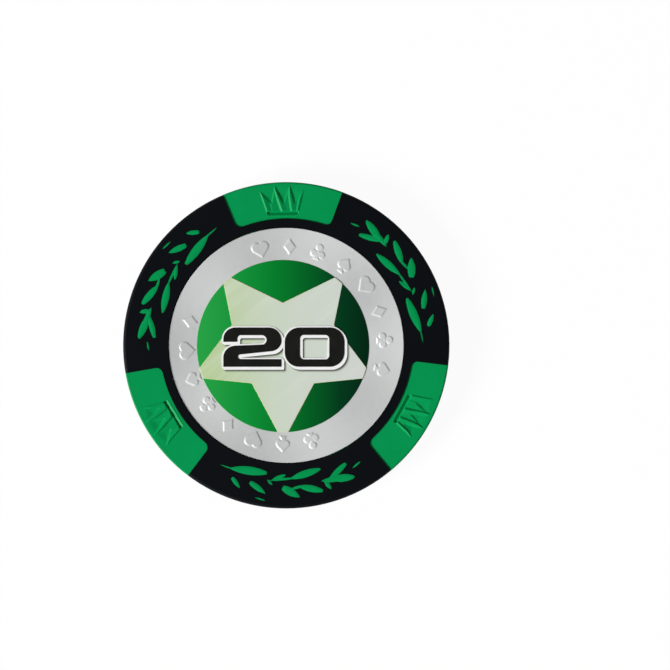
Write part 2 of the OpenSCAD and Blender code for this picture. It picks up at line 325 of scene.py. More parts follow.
# %% [markdown]
# A crown stands in low relief on every spot. It could be a separate plate, but on the real chip it is one
# with the spot, so the face itself rises and falls: crests on the crown's points, a shallow dish between
# their tips, and a groove at the foot. Its places are millimetres on the spot at +Y, across and outwards
# from the axis.

# %% The crown's relief
crown_points = np.array([
    [-2.0, 16.42], [-2.76, 18.8], [-1.38, 17.45], [-0.92, 19.45], [0.08, 17.45],
    [0.92, 19.45], [1.5, 17.35], [2.52, 18.78], [1.93, 16.42],
])
foot_and_tips = crown_points[[0, 1, 3, 5, 7, 8]]
crown_edge = 0.15
# Heights over the spot beside and on the crests, and the depth of the dish and the width of its slope.
crown_low, crown_high = -0.05, 0.118
dish_depth, dish_slope = 0.1, 1.1
# Crests from left to right: their places across at four heights on the spot, and their strength.
crest_y = np.array([16.5, 17.4, 18.2, 19.45])
crests = [
    ([-1.92, -2.2, -2.47, -2.88], 1.0), ([-1.27, -1.42, -1.3, -1.1], 0.5),
    ([-0.05, -0.33, -0.62, -0.95], 1.0), ([0.35, 0.1, 0.3, 0.6], 0.35),
    ([1.14, 1.02, 0.92, 0.9], 1.0), ([1.78, 2.02, 2.23, 2.6], 1.0),
]
crest_rise, crest_fall = 0.32, 0.8
# The groove below the points falls outwards: half width, both edges, the height at each, and its wall.
groove_half, groove_in, groove_out = 1.87, 15.87, 16.36
groove_high, groove_low = 0.06, -0.28
groove_wall = 0.08


def crown_relief(x, y):
    """Height of the crown over its spot: a soft step across the outline of the points, which stand in a
    shallow dish between the tips. Inside the outline each crest rises steeply on its left and falls
    slowly on its right, and the highest crest counts. Below the points the height of the groove runs
    straight from its inner to its outer edge."""
    plate = smooth_step(crown_edge, -crown_edge, outline_distance(x, y, closed_sides(crown_points)))
    dish = smooth_step(0, -dish_slope, outline_distance(x, y, closed_sides(foot_and_tips)))
    crest = np.zeros_like(x)
    for places, strength in crests:
        past = x - np.interp(y, crest_y, places)
        rise, fall = smooth_step(-crest_rise, 0, past), np.maximum(1 - past / crest_fall, 0)
        crest = np.maximum(crest, strength * np.where(past < 0, rise, fall))
    points = plate * (crown_low + (crown_high - crown_low) * crest) - (1 - plate) * dish_depth * dish
    outside = np.maximum(np.abs(x) - groove_half, np.maximum(groove_in - y, y - groove_out))
    groove = smooth_step(groove_wall, -groove_wall, outside)
    outwards = np.clip((y - groove_in) / (groove_out - groove_in), 0, 1)
    slope = groove_high + (groove_low - groove_high) * outwards
    return points * (1 - groove) + groove * slope


print(f"crown {np.ptp(crown_points, 0).round(2).tolist()} mm, up to {crown_high} mm over its spot")

# %% [markdown]
# Each spot fills a sector of the rim. Its section is a closed loop: front face, rounded rim, back face,
# inner wall. The loop is carried round the rim, and towards the ends of the sector its inner radius
# follows the rounded corner. A cut-out of a turned disc would have the same shape, but its mesh would be
# too coarse for the crown.

# %% Edge spots
# The green ends crisply at the rim, so a spot is rounded less there than the black body.
spot_round = 0.2
# Rows lie close together over the crown and at the corners: degrees that each takes up, and its rows.
crown_span, crown_rows = 9, 92
corner_span, corner_rows = 2.9, 14
between_rows = 24
# Rings lie close together in the inner quarter of the face, which holds the groove.
groove_share, groove_rings, other_rings = 0.24, 46, 70
# Rings of the rounded rim, the outer wall and the inner wall, counted with their ends.
round_rings, wall_rings, inner_rings = 9, 8, 6


def spot_angles():
    """Angles of half a spot's rows, from its middle to its end, where they close up as a sine does."""
    corner = spot_half - corner_span * (1 - np.sin(np.linspace(0, np.pi / 2, corner_rows)))
    between = np.linspace(crown_span, corner[0], between_rows)[1:-1]
    return np.concatenate([np.linspace(0, crown_span, crown_rows), between, corner])


def spot_inner_radius(degrees):
    """Inner radius at an angle from the spot's middle: level, then along a corner circle of radius c
    about a point at radius p: the nearer root p cos(d) - sqrt(c^2 - p^2 sin^2(d)) at d past it."""
    centre_r = spot_in_r + spot_corner
    centre_angle = math.radians(spot_half) - math.asin(spot_corner / centre_r)
    past = np.maximum(np.radians(np.abs(degrees)) - centre_angle, 0)
    root = np.sqrt(np.maximum(spot_corner ** 2 - (centre_r * np.sin(past)) ** 2, 0))
    return centre_r * np.cos(past) - root


def spot_grid():
    """Points of one spot at +Y. Rows follow the angle, columns the closed section. Both end rows shrink
    to a point, which caps the spot."""
    half = spot_angles()
    angle = np.concatenate([-half[:0:-1], half])[:, None]
    inner = spot_inner_radius(angle)
    face_share = np.concatenate([
        np.linspace(0, groove_share, groove_rings), np.linspace(groove_share, 1, other_rings)[1:],
    ])
    face_r = inner + (chip_r - spot_round - inner) * face_share
    x, y = np.moveaxis(clock(angle, face_r), -1, 0)
    front_z = spot_z + crown_relief(x, y)
    back_z = spot_drop - crown_relief(-x, y)
    quarter = np.linspace(0, np.pi / 2, round_rings)[1:]
    round_r = chip_r - spot_round * (1 - np.sin(quarter))
    round_drop = spot_round * (1 - np.cos(quarter))
    wall_z = np.linspace(spot_z - spot_round, spot_drop + spot_round, wall_rings)[1:-1]
    inner_z = np.linspace(spot_drop, spot_z, inner_rings)[1:-1]
    rows = np.ones_like(angle)
    radius = np.concatenate([
        face_r, rows * round_r, rows * np.full_like(wall_z, chip_r), rows * round_r[::-1],
        face_r[:, ::-1], inner * np.ones_like(inner_z),
    ], 1)
    height = np.concatenate([
        front_z, rows * (spot_z - round_drop), rows * wall_z, rows * (spot_drop + round_drop[::-1]),
        back_z[:, ::-1], rows * inner_z,
    ], 1)
    loops = np.concatenate([clock(angle, radius), height[..., None]], -1)
    caps = loops[[0, -1]].mean(1, keepdims=True) * np.ones((1, loops.shape[1], 1))
    return np.concatenate([caps[:1], loops, caps[1:]])


def core_piece(name, grids):
    """A piece of the green core, which is one solid in the frame."""
    make_piece(name, grids, green_composite, ["core_moulding"])


spot = spot_grid()
for i in range(spots):
    core_piece(f"edge_spot_{i + 1}", turned(spot, -i * spot_turn))

# %% [markdown]
# The laurel leaves are part of the green core too, and show through windows in the black body. A leaf
# lies between two equal arcs, and a blunt one is cut off at its foot by an arc about its tip. Its surface
# has one parameter along the leaf and one across it. Leaves run into each other, so the height of all of
# them comes from one distance: they swell together, as the hot plastic did when it bulged through the
# window.

# %% Outlines of the leaves
stem_r = 17.0
# One row per leaf or stem: angle and reach of its tip, angle and reach of its foot, width, and how far
# its arcs run past the foot. Angles run clockwise from a spot's middle, and reaches outwards from the
# stem line.
leaves = np.array([
    [28.8, -0.14, 33.3, 0.08, 0.26, 0],
    [44.0, 0.25, 34.0, 1.11, 0.95, 0.25],
    [47.2, 0.18, 37.8, 0.72, 0.66, 0],
    [44.6, 0.39, 34.6, -0.82, 0.72, 0.5],
    [44.0, 1.47, 45.8, 0.15, 0.56, 0],
    [57.0, 0.29, 47.3, 1.38, 0.86, 0.35],
    [53.5, 0.31, 60.3, 0.66, 0.36, 0],
    [56.2, 1.70, 63.0, 0.42, 1.00, 0.5],
    [60.2, -0.60, 46.0, -1.31, 0.90, 0.25],
    [56.5, -0.71, 69.1, -0.27, 0.32, 0],
    [67.9, -0.35, 61.8, -1.13, 0.48, 0.2],
    [67.0, 0.23, 69.7, -0.40, 0.36, 0],
    [69.3, 1.36, 76.4, 0.34, 0.74, 0.5],
    [79.3, 1.43, 83.8, 0.50, 0.58, 0.4],
    [86.6, -0.38, 70.1, -1.18, 1.06, 0.45],
    [91.1, -0.25, 82.8, -0.51, 0.22, 0],
    [68.9, 2.22, 73.4, 2.03, 0.22, 0],
])
tip_angle, tip_reach, foot_angle, foot_reach, leaf_width, past_foot = leaves.T
leaf_tip = clock(tip_angle, stem_r + tip_reach)
leaf_foot = clock(foot_angle, stem_r + foot_reach)
leaf_span = np.linalg.norm(leaf_foot - leaf_tip, axis=1)
leaf_run = (leaf_foot - leaf_tip) / leaf_span[:, None]
leaf_side = leaf_run[:, ::-1] * [-1, 1]
leaf_length = leaf_span + past_foot
# Radius of a leaf's two arcs, and how far their centres lie from its middle line.
leaf_arc = (leaf_length ** 2 + leaf_width ** 2) / (4 * leaf_width)
arc_offset = leaf_arc - leaf_width / 2
print(f"{len(leaves)} leaves and stems, {leaf_span.min():.2f} to {leaf_span.max():.2f} mm long")

# %% Laurel sprays
# A leaf stands in the web, and its edge lies just below the black face.
leaf_floor, leaf_drop = 2.2, 0.045
leaf_edge_z = chip_t - leaf_drop
# A leaf swells by this much, within this distance of its edge.
leaf_swell, swell_reach = 0.035, 0.25
# Faces that coincide would flicker, so neighbours in the table lie on levels a hair's breadth apart.
leaf_step, leaf_levels = 0.004, 4
leaf_rows, top_columns, floor_columns = 41, 15, 3
tiny = 1e-9  # keeps a tip's zero distance out of a division


def leaf_distance(flat):
    """Signed distance to a spray, the least over its leaves. To one leaf it is the greatest of those to
    its two arcs' circles and to the circle about its tip that cuts its foot."""
    middle = leaf_tip + leaf_run * leaf_length[:, None] / 2
    offset = leaf_side * arc_offset[:, None]
    away = [
        np.linalg.norm(flat[..., None, :] - centre, axis=-1)
        for centre in (middle + offset, middle - offset, leaf_tip)
    ]
    return np.maximum(np.maximum(away[0], away[1]) - leaf_arc, away[2] - leaf_span).min(-1)


def leaf_grids():
    """Points of every leaf of one spray. Along the leaf s runs from tip to foot, and across it v runs
    from -1 to 1 over the half width sqrt(R^2 - (s - L / 2)^2) - (R - w / 2) of arcs of radius R and
    length L. At the foot a point moves back to the arc about the tip. The section is a loop over the top
    and back along the floor."""
    v = np.concatenate([np.linspace(-1, 1, top_columns), np.linspace(1, -1, floor_columns)])
    share = (1 - np.cos(np.linspace(0, np.pi, leaf_rows))) / 2
    s = leaf_span[:, None] * share
    half = np.sqrt(leaf_arc[:, None] ** 2 - (s - leaf_length[:, None] / 2) ** 2) - arc_offset[:, None]
    along, across = s[..., None] * np.ones_like(v), np.maximum(half, 0)[..., None] * v
    stretch = np.minimum(1, leaf_span[:, None, None] / np.maximum(np.hypot(along, across), tiny))
    run, side = leaf_run[:, None, None], leaf_side[:, None, None]
    along, across = (along * stretch)[..., None], (across * stretch)[..., None]
    flat = leaf_tip[:, None, None] + run * along + side * across
    height = leaf_edge_z + leaf_swell * smooth_step(0, -swell_reach, leaf_distance(flat))
    height -= leaf_step * (np.arange(len(leaves)) % leaf_levels)[:, None, None]
    height[..., top_columns:] = leaf_floor
    loops = np.concatenate([flat, height[..., None]], -1)
    caps = loops[:, -1:].mean(2, keepdims=True) * np.ones((1, 1, len(v), 1))
    return np.concatenate([loops, caps], 1)


spray = leaf_grids()
sprays = np.concatenate([turned(spray, -i * spot_turn) for i in range(spots)])
core_piece("laurel_front", sprays)
core_piece("laurel_back", on_back(sprays))

# %% [markdown]
# The rest of the core is hidden: a hub around the slug and a web that carries the leaves. It is a turned
# shape, so a half section is carried round the axis. The section also runs round the slug's pocket, which
# makes the hub hollow. The hub ends a little inside the well, so that the gap round the label is deep and
# dark.

# %% Hub and web
hub_gap = 0.3
hub_columns = 192
hub_r = well_r - hub_gap
hub_high = low_high("front_adhesive")[0][2]
hub_low = chip_t - hub_high
web_low, web_high = (chip_t - web_t) / 2, (chip_t + web_t) / 2
slug_low, slug_high = low_high("steel_slug")
slug_r = slug_high[0]


def lathe(section, columns):
    """Points of a section (radius, height) carried once round +Z."""
    turn = np.linspace(0, 2 * np.pi, columns, endpoint=False)[None, :]
    radius, height = section[:, :1], section[:, 1:]
    return np.stack([radius * np.cos(turn), radius * np.sin(turn), height * np.ones_like(turn)], -1)


hub_section = np.array([
    [0, hub_high], [hub_r, hub_high], [hub_r, web_high], [web_r, web_high],
    [web_r, web_low], [hub_r, web_low], [hub_r, hub_low], [0, hub_low],
    [0, slug_low[2]], [slug_r, slug_low[2]], [slug_r, slug_high[2]], [0, slug_high[2]],
])
core_piece("core_hub", lathe(hub_section, hub_columns))

# %% [markdown]
# The label is a vacuum-metallised film with a satin face, which scatters more light than it mirrors, so
# it is only a little metallic here. Its tone rises and falls in five soft sectors, a painted reflection
# of the light that runs over a spun dial. The mark "painted_sector_sheen" holds that wave, so that the
# pattern follows the label.

# %% Silver film
def silver_film():
    """Satin silver whose tone follows the sectors of painted reflection, with a fine cloudiness."""
    material, tree = blank_material("Silver_metallised_film")
    place = add(tree, "TexCoord").outputs["Object"]
    painted_sector_sheen = add(tree, "Attribute", attribute_name="painted_sector_sheen").outputs["Fac"]
    tone = add(tree, "Mix", {
        SHARE: painted_sector_sheen, FIRST: linear("#c5c7c6"), SECOND: linear("#d6d8d7"),
    }, data_type="RGBA")
    # The satin of the film is a fine brushed cloudiness, drawn at 0.5 mm so that it just shows.
    satin = add(tree, "TexNoise", {
        "Vector": place, "Scale": 1 / (0.5 * MM), "Detail": 4.0, "Roughness": 0.65,
    }).outputs["Fac"]
    satin_share = add(tree, "MapRange", {"Value": satin, "From Min": 0.3, "From Max": 0.7, "To Max": 0.12})
    clouded = add(tree, "Mix", {
        SHARE: satin_share.outputs[0], FIRST: tone.outputs[MIXED], SECOND: linear("#e6e6e5"),
    }, data_type="RGBA")
    end_surface(
        tree, clouded.outputs[MIXED], satin, rough=(0.38, 0.52), relief=(0.15, 0.005),
        shine={"Metallic": 0.2},
    )
    return material


silver = silver_film()
print(f"finish {silver.name}")

# %% [markdown]
# The suits are pressed up from behind, so they are soft-edged swellings of the film. Each suit is put
# together from distances: the distance to a union of shapes is the least of their distances.

# %% Outlines of the suits
suit_h = 2.0


def arc(centre, radius, start, stop, steps=12):
    """Points along an arc, at angles anticlockwise from +X."""
    angle = np.radians(np.linspace(start, stop, steps))
    return np.array(centre) + radius * np.stack([np.cos(angle), np.sin(angle)], -1)


def heart_distance(x, y, height=suit_h):
    """Distance to a heart: two half circles on the upper sides of a square that stands on its corner.
    With a side s, it is s (0.75 sqrt(2) + 0.5) high."""
    side = height / (0.75 * math.sqrt(2) + 0.5)
    half = side / math.sqrt(2)
    right = arc((half / 2, half / 2), side / 2, -45, 135)
    left = arc((-half / 2, half / 2), side / 2, 45, 225)
    corners = np.concatenate([[[0, -half]], right, left])
    return outline_distance(x, y - (half - side) / 4, closed_sides(corners))


def foot_distance(x, y):
    """Distance to the three-cornered foot of a club or spade."""
    corners = np.array([[-0.22, -0.5], [0.22, -0.5], [0, 0.1]]) * suit_h
    return outline_distance(x, y, closed_sides(corners))


def diamond_distance(x, y):
    """Distance to a diamond, which is 0.76 of its height wide."""
    corners = np.array([[0, -0.5], [0.38, 0], [0, 0.5], [-0.38, 0]]) * suit_h
    return outline_distance(x, y, closed_sides(corners))


def club_distance(x, y):
    """Distance to a club: three round lobes, a smaller circle that fills their middle, and a foot."""
    lobe = 0.23 * suit_h
    centres = clock(np.array([0, 120, 240]), 1.18 * lobe)
    lobes = [np.hypot(x - cx, y - cy) - lobe for cx, cy in centres]
    return np.minimum.reduce([*lobes, np.hypot(x, y) - 0.6 * lobe, foot_distance(x, y)])


def spade_distance(x, y):
    """Distance to a spade: a smaller heart turned upside down, a little above the middle, and a foot."""
    return np.minimum(heart_distance(-x, 0.12 * suit_h - y, 0.78 * suit_h), foot_distance(x, y))


heart_middle = heart_distance(origin, origin)[0]
print(f"suits {suit_h} mm high, distance in the middle of a heart {heart_middle:.2f} mm")

# %% Embossed suits
emboss = 0.08
# The press leaves a soft edge, which reaches this far outside and inside the outline.
emboss_out, emboss_in = 0.08, 0.16
suit_gap = 0.55
suit_r = field_r + suit_gap + suit_h / 2
suits = [heart_distance, diamond_distance, club_distance, spade_distance]
# Two arcs of suits lie opposite each other. Angles run clockwise from the top of the print.
arc_suits, first_suit, suit_turn = 8, -15, 17
near_suit = 1.5  # points further from a suit's middle aren't tested against it


def suit_relief(x, y):
    """Height of the embossing over the film: two arcs of suits, each a soft step across its outline."""
    relief = np.zeros_like(x)
    for k in range(2):
        for i in range(arc_suits):
            angle = math.radians(first_suit + 180 * k + suit_turn * i)
            across = x * math.cos(angle) - y * math.sin(angle)
            out = x * math.sin(angle) + y * math.cos(angle) - suit_r
            near = np.hypot(across, out) < near_suit
            distance = suits[(i + 2 * k) % len(suits)](across[near], out[near])
            raised = emboss * smooth_step(emboss_out, -emboss_in, distance)
            relief[near] = np.maximum(relief[near], raised)
    return relief


print(f"{2 * arc_suits} suits at {suit_r:.2f} mm from the middle, {emboss} mm high")

# %% [markdown]
# The foil is a turned disc, so its section is carried round the axis, as the hub's was. The suits could
# be a bump in the material, but the mesh would then be flat there. So the rings are close together under
# the suits, and the points themselves rise. A label that was pressed into its well curls up towards its
# edge, and so does this one.

# %% Foil labels
foil_edge = 0.06
curl_start, curl_rise = 11.4, 0.1
# Rings of the top: few in the middle, many under the suits, and some where the edge curls up.
plain_rings, suit_rings = [0, 5, 10], np.linspace(10.6, 13.4, 58)
outer_rings = np.linspace(14.0, label_r - foil_edge, 7)
edge_rings = 6
foil_columns = 1280
sectors = 5


def foil_grid():
    """Points of the foil: rings from the middle of the top over a rounded edge to the middle of the
    underside. The top carries the embossing, and its border curls up with the square of the way."""
    quarter = np.linspace(0, np.pi / 2, edge_rings)[1:]
    top_r = np.concatenate([plain_rings, suit_rings, outer_rings])
    edge_r = label_r - foil_edge * (1 - np.sin(quarter))
    curl = np.maximum((top_r - curl_start) / (label_r - foil_edge - curl_start), 0) ** 2
    ring_r = np.concatenate([top_r, edge_r, [label_r, label_r - foil_edge, 0]])
    ring_z = np.concatenate([
        foil_z + curl_rise * curl, foil_z + curl_rise - foil_edge * (1 - np.cos(quarter)),
        [foil_low[2] + foil_edge / 2, foil_low[2], foil_low[2]],
    ])
    points = lathe(np.stack([ring_r, ring_z], -1), foil_columns)
    top = points[:len(top_r)]
    top[..., 2] += suit_relief(top[..., 0], top[..., 1])
    return points


def label_layer(name, node, points, material, marks):
    """One layer of the label on both faces, from points of the upright print."""
    front = turned(points, -label_turn)
    for side, placed in (("front", front), ("back", on_back(front))):
        make_piece(f"{side}_{name}", placed, material, [f"{side}_{node}"], marks)


foil = foil_grid()
# Five lobes of painted reflection round the axis: 1 where the film is painted bright, 0 where it is painted
# dark.
painted_sector_sheen = 0.5 + 0.5 * np.cos(sectors * np.arctan2(foil[..., 1], foil[..., 0]))
label_layer("label_foil", "foil", foil, silver, {"painted_sector_sheen": painted_sector_sheen})

# %% [markdown]
# The print is screen-printed ink with a satin face. The green field darkens from left to right, which a
# colour ramp with a few stops gives. The mark "across" runs from 0 to 1 over the field, so that the back
# label shows the same run when the chip is turned over.

# %% Screen-printed ink
def screen_ink(name, stops, roughness, overprint=None):
    """A satin ink whose colour runs across the print, with a faint mottle from the squeegee."""
    material, tree = blank_material(name)
    place = add(tree, "TexCoord").outputs["Object"]
    across = add(tree, "Attribute", attribute_name="across").outputs["Fac"]
    colour = add(tree, "ValToRGB", {"Fac": across}, stops=stops).outputs["Color"]
    if overprint:
        colour = overprint(tree, place, colour)
    # Mesh marks of a printing screen are about 0.1 mm wide, and drawn twice as coarse here.
    mottle = add(tree, "TexNoise", {"Vector": place, "Scale": 1 / (0.2 * MM), "Detail": 3.0}).outputs["Fac"]
    end_surface(
        tree, colour, mottle, rough=(roughness - 0.05, roughness + 0.07),
        relief=(0.15, 0.003), shine={"IOR": 1.48, "Specular IOR Level": 0.06},
    )
    return material


green_ink = screen_ink("Green_screen_ink", [
    (0.02, "#26a045"), (0.26, "#109039"), (0.45, "#027c2b"),
    (0.64, "#005f22"), (0.83, "#00381b"), (0.98, "#002612"),
], 0.42)
print(f"finish {green_ink.name}")

# %% [markdown]
# A layer of ink is a flat plate with a half-round edge. Its outline is a reach in every direction from
# the print's centre, so one function makes both the round field and the star.

# %% Field ink
print_centre = turned((field_low + field_high) / 2, label_turn)
ink_edge_rings = 7
field_columns, field_rings, last_share = 360, 14, 0.995


def ink_layer(reach, degrees, low, high, shares):
    """Points of a layer of ink around the print's centre: from the middle of its top out to the reach at
    each angle, over a rounded edge and back to the middle underneath."""
    round_r = (high - low) / 2
    half_turn = np.linspace(0, np.pi, ink_edge_rings)
    flat = np.ones_like(shares)
    share = np.concatenate([shares, np.ones_like(half_turn), [0]])[:, None]
    inset = np.concatenate([round_r * flat, round_r * (1 - np.sin(half_turn)), [0]])[:, None]
    height = np.concatenate([high * flat, (low + high) / 2 + round_r * np.cos(half_turn), [low]])[:, None]
    x, y = np.moveaxis(clock(degrees, share * (reach - inset)), -1, 0)
    return np.stack([x + print_centre[0], y + print_centre[1], height * np.ones_like(x)], -1)


def across_print(points):
    """0 at the left edge of the field, 1 at its right edge."""
    return (points[..., 0] - print_centre[0]) / (2 * field_r) + 0.5


field_angle = np.linspace(0, 360, field_columns, endpoint=False)
field_reach = np.full_like(field_angle, field_r)
field_shares = np.linspace(0, last_share, field_rings)
field = ink_layer(field_reach, field_angle, field_low[2], field_high[2], field_shares)
label_layer("field_ink", "field", field, green_ink, {"across": across_print(field)})

# %% [markdown]
# The star is a lighter ink over the field, cut off by the field's edge. A printed shade falls from the
# numerals to the lower right. It follows their white rim, so its strength comes from the distance to that
# rim's outline, which is read from the CAD piece and moved a little to the lower right.

# %% Outline of the star
# Corners of the star's right half, at clockwise angles from the top. Notches lie at a share of the
# field's radius, and the tips would reach past the field's edge.
star_notches = [(0, 0.505), (67.5, 0.642), (140, 0.564)]
star_tips = [40, 109, 180]
tip_overrun = 1.2
right_half = sorted(
    [(angle, share * field_r) for angle, share in star_notches]
    + [(angle, field_r + tip_overrun) for angle in star_tips]
)
star_corners = np.array(right_half + [(360 - angle, radius) for angle, radius in right_half[-2::-1]])
star_columns, star_rings = 1000, 92


def star_reach(degrees):
    """Radius of the star at clockwise angles: the straight side between two corners, cut off at the
    field's edge. A side from corner P to corner Q lies at |P x Q| / |d x (Q - P)| in the direction d."""
    corners = clock(star_corners[:, 0], star_corners[:, 1])
    side = np.clip(np.searchsorted(star_corners[:, 0], degrees, side="right") - 1, 0, len(corners) - 2)
    p, run = corners[side], corners[side + 1] - corners[side]
    d = clock(degrees, 1.0)
    reach = (p[:, 0] * run[:, 1] - p[:, 1] * run[:, 0]) / (d[:, 0] * run[:, 1] - d[:, 1] * run[:, 0])
    return np.minimum(reach, field_r)


even_angles = np.linspace(0, 360, star_columns, endpoint=False)
star_angle = np.unique(np.concatenate([even_angles, star_corners[:-1, 0]]))
star_shares = np.linspace(0, 1, star_rings, endpoint=False)
star = ink_layer(star_reach(star_angle), star_angle, star_low[2], star_high[2], star_shares)
print(f"star with {len(star_corners) - 1} corners, {star.shape[0]} rings of {star.shape[1]} points")

# %% Shade of the numerals
shade_fall, shade_blur, shade_margin = 0.2, 0.18, 0.5
# What counts as flat on top of a piece, and the digits to which the ends of an edge have to agree.
top_band, edge_digits = 0.01, 4


def upright_sides(node):
    """Sides of the outline of a CAD piece's top face, in millimetres on the upright print: those edges of
    its flat triangles that only one triangle has."""
    mesh = nodes[node].data
    mesh.calc_loop_triangles()
    points = np.empty(len(mesh.vertices) * 3, np.float32)
    mesh.vertices.foreach_get("co", points)
    points = turned(points.reshape(-1, 3) / MM, label_turn)
    corners = np.empty(len(mesh.loop_triangles) * 3, np.int32)
    mesh.loop_triangles.foreach_get("vertices", corners)
    triangles = points[corners.reshape(-1, 3)]
    flat = triangles[(triangles[..., 2] > points[:, 2].max() - top_band).all(1)][..., :2]
    edges = np.round(np.concatenate([flat[:, [0, 1]], flat[:, [1, 2]], flat[:, [2, 0]]]), edge_digits)
    swapped = (edges[:, 0, 0] > edges[:, 1, 0]) | (
        (edges[:, 0, 0] == edges[:, 1, 0]) & (edges[:, 0, 1] > edges[:, 1, 1])
    )
    edges[swapped] = edges[swapped][:, ::-1]
    single, count = np.unique(edges.reshape(-1, 4), axis=0, return_counts=True)
    return single[count == 1].reshape(-1, 2, 2)


def printed_shade(points, sides):
    """Strength of the shade: the outline moved to the lower right and blurred by a soft step."""
    x, y = points[..., 0] - shade_fall, points[..., 1] + shade_fall
    low, high = sides.min((0, 1)) - shade_margin, sides.max((0, 1)) + shade_margin
    near = (x > low[0]) & (x < high[0]) & (y > low[1]) & (y < high[1])
    shade = np.zeros_like(x)
    shade[near] = smooth_step(shade_blur, -shade_blur, outline_distance(x[near], y[near], sides))
    return shade


rim_sides = upright_sides("front_numeral_rim")
shade = printed_shade(star, rim_sides)
print(f"shade from {len(rim_sides)} sides of the numerals' rim, on {np.count_nonzero(shade)} points")

# %% Star ink
# The fringe fades out between these two distances from the star's edge.
fringe_strength, fringe_full, fringe_end = 0.7, 0.02, 0.16
ray_slant, ray_stretch = 38, 12


def shaded_star(tree, place, colour):
    """A thin fringe where the yellow plate runs past the others, then faint rays, then the shade."""
    shade = add(tree, "Attribute", attribute_name="shade").outputs["Fac"]
    fringe = add(tree, "Attribute", attribute_name="fringe").outputs["Fac"]
    # Faint pale rays run across the star at a slant, each about a millimetre wide and many long.
    slanted = add(tree, "Mapping", {
        "Vector": place, "Rotation": (0, 0, math.radians(ray_slant)), "Scale": (ray_stretch, 1, 1),
    }, vector_type="TEXTURE")
    rays = add(tree, "TexNoise", {"Vector": slanted.outputs[0], "Scale": 1 / (1.3 * MM), "Detail": 2.0})
    ray_share = add(tree, "MapRange", {
        "Value": rays.outputs["Fac"], "From Min": 0.5, "From Max": 0.75, "To Max": 0.35,
    }).outputs[0]
    for share, tone in ((fringe, "#c9cf9a"), (ray_share, "#dfe4d8"), (shade, "#4d5147")):
        mixed = add(tree, "Mix", {SHARE: share, FIRST: colour, SECOND: linear(tone)}, data_type="RGBA")
        colour = mixed.outputs[MIXED]
    return colour


cream_ink = screen_ink("Cream_screen_ink", [
    (0.0, "#b4ca90"), (0.25, "#c0d0ae"), (0.45, "#cad4c2"), (0.65, "#ccd4c8"), (1.0, "#cfd4cf"),
], 0.42, shaded_star)
star_radius = np.hypot(star[..., 0] - print_centre[0], star[..., 1] - print_centre[1])
fringe = fringe_strength * smooth_step(fringe_end, fringe_full, star_reach(star_angle) - star_radius)
label_layer("star_ink", "star", star, cream_ink, {
    "across": across_print(star), "shade": shade, "fringe": fringe,
})

# %% [markdown]
# The pieces whose CAD shape is already right are kept, and only get their finish. The numerals' mesh is
# loose triangles, so a Weld modifier joins them, and a Bevel modifier breaks the sharp edges, as thick
# ink does when it dries.

# %% Inks of the numerals
numeral_bevel, bevel_segments, bevel_limit = 0.02, 2, 40


def plain_ink(name, thin_tone, thick_tone, roughness):
    """One ink colour, a little cloudy where the layer is thicker."""
    material, tree = blank_material(name)
    place = add(tree, "TexCoord").outputs["Object"]
    # Ink pools in patches of about a millimetre.
    pools = add(tree, "TexNoise", {
        "Vector": place, "Scale": 1 / (1.2 * MM), "Detail": 4.0, "Roughness": 0.6,
    }).outputs["Fac"]
    share = add(tree, "MapRange", {"Value": pools, "From Min": 0.3, "From Max": 0.7})
    colour = add(tree, "Mix", {
        SHARE: share.outputs[0], FIRST: linear(thin_tone), SECOND: linear(thick_tone),
    }, data_type="RGBA")
    end_surface(
        tree, colour.outputs[MIXED], pools, rough=(roughness - 0.06, roughness + 0.06),
        relief=(0.1, 0.004), shine={"IOR": 1.48, "Specular IOR Level": 0.06},
    )
    return material


def dress(node, material, bevel=0.0):
    """Gives a CAD piece its finish, and a bevel in millimetres on its sharp edges."""
    piece = nodes[node]
    piece.material_slots[0].material = material
    if bevel:
        weld = piece.modifiers.new("join_triangles", "WELD")
        weld.merge_threshold = merge_gap * MM
        edge = piece.modifiers.new("soft_edges", "BEVEL")
        edge.width = bevel * MM
        edge.segments = bevel_segments
        edge.limit_method = "ANGLE"
        edge.angle_limit = math.radians(bevel_limit)
    print(f"{node}: {material.name}")


white_ink = plain_ink("White_screen_ink", "#ececec", "#f4f4f3", 0.42)
black_ink = plain_ink("Black_screen_ink", "#171715", "#1d1d1c", 0.45)
for side in ("front", "back"):
    dress(f"{side}_numeral_rim", white_ink)
    dress(f"{side}_numerals", black_ink, numeral_bevel)
dress("body_moulding", black_composite)

# %% [markdown]
# Two finishes stay out of sight: the clear adhesive film under each label, and the punched steel slug in
# the hub.

# %% Adhesive and steel
def clear_adhesive():
    """A dull clear film over a pale ground, with cloudy patches."""
    material, tree = blank_material("Clear_acrylic_adhesive")
    place = add(tree, "TexCoord").outputs["Object"]
    # Trapped air leaves cloudy patches of about 2 mm.
    patches = add(tree, "TexNoise", {"Vector": place, "Scale": 1 / (2 * MM), "Detail": 3.0}).outputs["Fac"]
    colour = add(tree, "Mix", {
        SHARE: patches, FIRST: linear("#d9d8d2"), SECOND: linear("#e6e5e0"),
    }, data_type="RGBA")
    shader = add(tree, "BsdfPrincipled", {
        "Base Color": colour.outputs[MIXED], "Roughness": 0.6, "IOR": 1.47,
    })
    add(tree, "OutputMaterial", {"Surface": shader.outputs[0]})
    return material


def tumbled_steel():
    """Bare steel with the small dents of the tumbling drum."""
    material, tree = blank_material("Tumbled_mild_steel")
    place = add(tree, "TexCoord").outputs["Object"]
    # Tumbling leaves dull dents of about 0.6 mm.
    dents = add(tree, "TexNoise", {"Vector": place, "Scale": 1 / (0.6 * MM), "Detail": 4.0}).outputs["Fac"]
    colour = add(tree, "Mix", {
        SHARE: dents, FIRST: linear("#8d8f91"), SECOND: linear("#a9abad"),
    }, data_type="RGBA")
    end_surface(
        tree, colour.outputs[MIXED], dents, rough=(0.3, 0.55), relief=(0.3, 0.01), shine={"Metallic": 1.0},
    )
    return material


